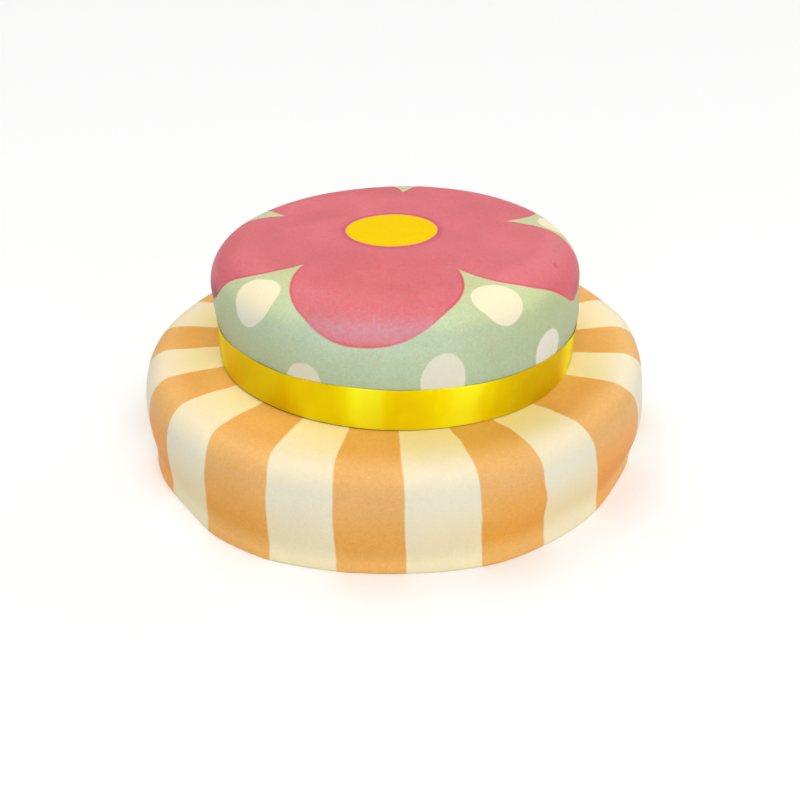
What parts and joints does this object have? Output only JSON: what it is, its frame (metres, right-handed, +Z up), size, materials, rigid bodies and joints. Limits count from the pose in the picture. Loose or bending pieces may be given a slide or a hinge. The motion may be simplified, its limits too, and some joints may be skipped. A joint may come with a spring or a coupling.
{
  "type": "two-tier cake",
  "caption": "Small round cake tier standing on a wider one, both under soft-edged printed icing, with a satin ribbon wound round the upper tier's foot.",
  "frame": {"origin": "middle of the lower tier's underside, on the surface that the cake stands on", "axes": "+Z up; -Y towards the front, where a petal of the flower points at the viewer; +X to the viewer's right"},
  "size_m": [0.2807, 0.2797, 0.1127],
  "materials": {
    "lower_icing": "satin-matte rolled icing, striped cream and orange",
    "upper_icing": "satin-matte rolled icing, printed with a pink flower and pale dots on green",
    "ribbon_satin": "glossy yellow satin ribbon"
  },
  "bodies": {
    "root": {"lower_tier": "lower_icing", "upper_tier": "upper_icing", "ribbon": "ribbon_satin"}
  },
  "joints": []
}
